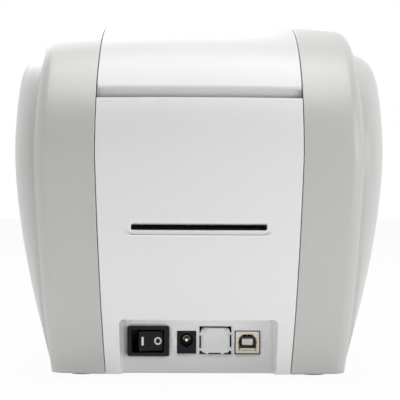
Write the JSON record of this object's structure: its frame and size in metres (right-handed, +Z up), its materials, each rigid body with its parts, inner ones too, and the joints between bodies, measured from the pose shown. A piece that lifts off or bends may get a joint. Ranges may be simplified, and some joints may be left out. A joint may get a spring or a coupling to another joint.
{
  "type": "id card printer",
  "caption": "Desktop ID card printer with a rear-hinged top cover, a front card feeder, a geared roller card path, a ribbon, a print head and a rear connector recess.",
  "frame": {"origin": "on the table, under the middle of the case's bounding box", "axes": "+Z up, +Y towards the rear with the connectors, +X to the right seen from the front"},
  "size_m": [0.1924, 0.3398, 0.1879],
  "materials": {
    "white_plastic": "moulded, fine satin",
    "grey_plastic": "moulded, fine satin",
    "black_plastic": "moulded, satin",
    "switch_black": "semi-gloss",
    "rubber": "matt",
    "roller_rubber": "ground, matt",
    "sticky_roller": "soft, semi-gloss",
    "steel": "zinc-plated",
    "pin_metal": "plated",
    "head_metal": "extruded, satin",
    "brass_gear": "machined",
    "gear_plastic": "moulded, natural",
    "ivory_plastic": "moulded, ivory",
    "pale_plastic": "moulded, pale grey",
    "board_green": "solder mask",
    "chip_black": "moulded",
    "motor_black": "black painted can",
    "motor_grey": "plated can",
    "light_pipe": "clear pipe, unlit",
    "ribbon": "dye film"
  },
  "bodies": {
    "base": {"base_tray": "black_plastic", "rubber_feet": "rubber", "left_side_shell": "grey_plastic", "right_side_shell": "grey_plastic", "rear_panel": "white_plastic", "front_panel": "white_plastic", "left_chassis_plate": "steel", "right_chassis_plate": "steel", "chassis_rods": "steel", "card_bed": "black_plastic", "rear_slot_guide": "black_plastic", "input_hopper": "black_plastic", "output_bay": "black_plastic", "main_board": "board_green", "board_components": "chip_black", "usb_socket": "ivory_plastic", "usb_tongue": "pale_plastic", "dc_jack": "black_plastic", "dc_jack_pin": "pin_metal", "switch_housing": "switch_black", "drive_motor": "motor_black", "takeup_motor": "motor_grey", "roller_bushings": "ivory_plastic", "gear_studs": "steel", "hinge_pins": "steel", "case_screws": "steel", "status_lights": "light_pipe", "panel_board": "board_green", "pinch_brackets": "steel", "ribbon_film": "ribbon"},
    "cover": {"top_cover": "white_plastic", "cover_frame": "black_plastic", "print_head": "head_metal"},
    "platen": {"platen_roller": "roller_rubber", "platen_shaft": "steel"},
    "exit_feed": {"exit_roller": "roller_rubber", "exit_shaft": "steel"},
    "rear_feed": {"rear_roller": "roller_rubber", "rear_shaft": "steel"},
    "front_feed": {"front_roller": "roller_rubber", "front_shaft": "steel"},
    "pick_feed": {"pick_roller": "roller_rubber", "pick_shaft": "steel"},
    "exit_idler_gear": {"exit_idler": "gear_plastic"},
    "rear_idler_gear": {"rear_idler": "gear_plastic"},
    "front_idler_gear": {"front_idler": "gear_plastic"},
    "pick_idler_gear": {"pick_idler": "gear_plastic"},
    "reduction": {"reduction_gear": "gear_plastic"},
    "pinion": {"motor_pinion": "brass_gear"},
    "rear_pinch": {"rear_pinch_roller": "roller_rubber"},
    "exit_pinch": {"exit_pinch_roller": "roller_rubber"},
    "cleaner": {"cleaning_roller": "sticky_roller"},
    "supply": {"supply_spool": "ribbon"},
    "takeup": {"takeup_spool": "ribbon"},
    "door": {"feeder_door": "white_plastic"},
    "tray": {"output_tray": "black_plastic"},
    "weight": {"card_weight": "grey_plastic"},
    "latch": {"cover_latch": "grey_plastic"},
    "button": {"feed_button": "grey_plastic"},
    "rocker": {"power_rocker": "switch_black"}
  },
  "joints": [
    {"name": "cover_hinge", "type": "hinge", "parent": "base", "child": "cover", "pos_m": [0, 0.14301, 0.142], "axis": [-1, 0, 0], "range_deg": [0, 75]},
    {"name": "platen_spin", "type": "hinge", "parent": "base", "child": "platen", "pos_m": [0, 0.015, 0.071], "axis": [1, 0, 0], "continuous": true},
    {"name": "exit_roller_spin", "type": "hinge", "parent": "base", "child": "exit_feed", "pos_m": [0, 0.135, 0.071], "axis": [1, 0, 0], "continuous": true},
    {"name": "rear_roller_spin", "type": "hinge", "parent": "base", "child": "rear_feed", "pos_m": [0, 0.075, 0.071], "axis": [1, 0, 0], "continuous": true},
    {"name": "front_roller_spin", "type": "hinge", "parent": "base", "child": "front_feed", "pos_m": [0, -0.045, 0.071], "axis": [1, 0, 0], "continuous": true},
    {"name": "pick_roller_spin", "type": "hinge", "parent": "base", "child": "pick_feed", "pos_m": [0, -0.105, 0.071], "axis": [1, 0, 0], "continuous": true},
    {"name": "exit_idler_spin", "type": "hinge", "parent": "base", "child": "exit_idler_gear", "pos_m": [0.04, 0.105, 0.071], "axis": [1, 0, 0], "continuous": true},
    {"name": "rear_idler_spin", "type": "hinge", "parent": "base", "child": "rear_idler_gear", "pos_m": [0.04, 0.045, 0.071], "axis": [1, 0, 0], "continuous": true},
    {"name": "front_idler_spin", "type": "hinge", "parent": "base", "child": "front_idler_gear", "pos_m": [0.04, -0.015, 0.071], "axis": [1, 0, 0], "continuous": true},
    {"name": "pick_idler_spin", "type": "hinge", "parent": "base", "child": "pick_idler_gear", "pos_m": [0.04, -0.075, 0.071], "axis": [1, 0, 0], "continuous": true},
    {"name": "reduction_spin", "type": "hinge", "parent": "base", "child": "reduction", "pos_m": [0.045, -0.015, 0.047], "axis": [1, 0, 0], "continuous": true},
    {"name": "pinion_spin", "type": "hinge", "parent": "base", "child": "pinion", "pos_m": [0.045, -0.015, 0.027], "axis": [1, 0, 0], "continuous": true},
    {"name": "rear_pinch_spin", "type": "hinge", "parent": "base", "child": "rear_pinch", "pos_m": [0, 0.075, 0.0828], "axis": [1, 0, 0], "continuous": true},
    {"name": "exit_pinch_spin", "type": "hinge", "parent": "base", "child": "exit_pinch", "pos_m": [0, 0.135, 0.0828], "axis": [1, 0, 0], "continuous": true},
    {"name": "cleaner_spin", "type": "hinge", "parent": "base", "child": "cleaner", "pos_m": [0, -0.045, 0.0848], "axis": [1, 0, 0], "continuous": true},
    {"name": "supply_spin", "type": "hinge", "parent": "base", "child": "supply", "pos_m": [0, 0.07, 0.124], "axis": [1, 0, 0], "continuous": true},
    {"name": "takeup_spin", "type": "hinge", "parent": "base", "child": "takeup", "pos_m": [0, -0.042, 0.124], "axis": [1, 0, 0], "continuous": true},
    {"name": "door_hinge", "type": "hinge", "parent": "base", "child": "door", "pos_m": [0, -0.14743, 0.12822], "axis": [-1, 0, 0], "range_deg": [0, 85]},
    {"name": "tray_slide", "type": "slide", "parent": "base", "child": "tray", "axis": [0, -1, 0], "range_m": [0, 0.045]},
    {"name": "weight_slide", "type": "slide", "parent": "base", "child": "weight", "axis": [0, 0, 1], "range_m": [0, 0.03]},
    {"name": "latch_slide", "type": "slide", "parent": "base", "child": "latch", "axis": [0, -0.927, -0.3752], "range_m": [0, 0.004], "stiffness_N_per_m": 150, "springref_m": -0.004},
    {"name": "button_press", "type": "slide", "parent": "base", "child": "button", "axis": [0, 0.537, -0.8436], "range_m": [0, 0.0012], "stiffness_N_per_m": 300, "springref_m": -0.002},
    {"name": "switch_rock", "type": "hinge", "parent": "base", "child": "rocker", "pos_m": [0.0252, 0.124, 0.0192], "axis": [0, 0, -1], "range_deg": [0, 20]}
  ],
  "couplings": [
    {"joint": "exit_roller_spin", "follows": "platen_spin", "ratio": 1},
    {"joint": "rear_roller_spin", "follows": "platen_spin", "ratio": 1},
    {"joint": "front_roller_spin", "follows": "platen_spin", "ratio": 1},
    {"joint": "pick_roller_spin", "follows": "platen_spin", "ratio": 1},
    {"joint": "exit_idler_spin", "follows": "platen_spin", "ratio": -0.66667},
    {"joint": "rear_idler_spin", "follows": "platen_spin", "ratio": -0.66667},
    {"joint": "front_idler_spin", "follows": "platen_spin", "ratio": -0.66667},
    {"joint": "pick_idler_spin", "follows": "platen_spin", "ratio": -0.66667},
    {"joint": "reduction_spin", "follows": "platen_spin", "ratio": 2},
    {"joint": "pinion_spin", "follows": "platen_spin", "ratio": -6},
    {"joint": "rear_pinch_spin", "follows": "platen_spin", "ratio": -1.75},
    {"joint": "exit_pinch_spin", "follows": "platen_spin", "ratio": -1.75},
    {"joint": "cleaner_spin", "follows": "platen_spin", "ratio": -1.1667},
    {"joint": "takeup_spin", "follows": "supply_spin", "ratio": 1.8182}
  ]
}
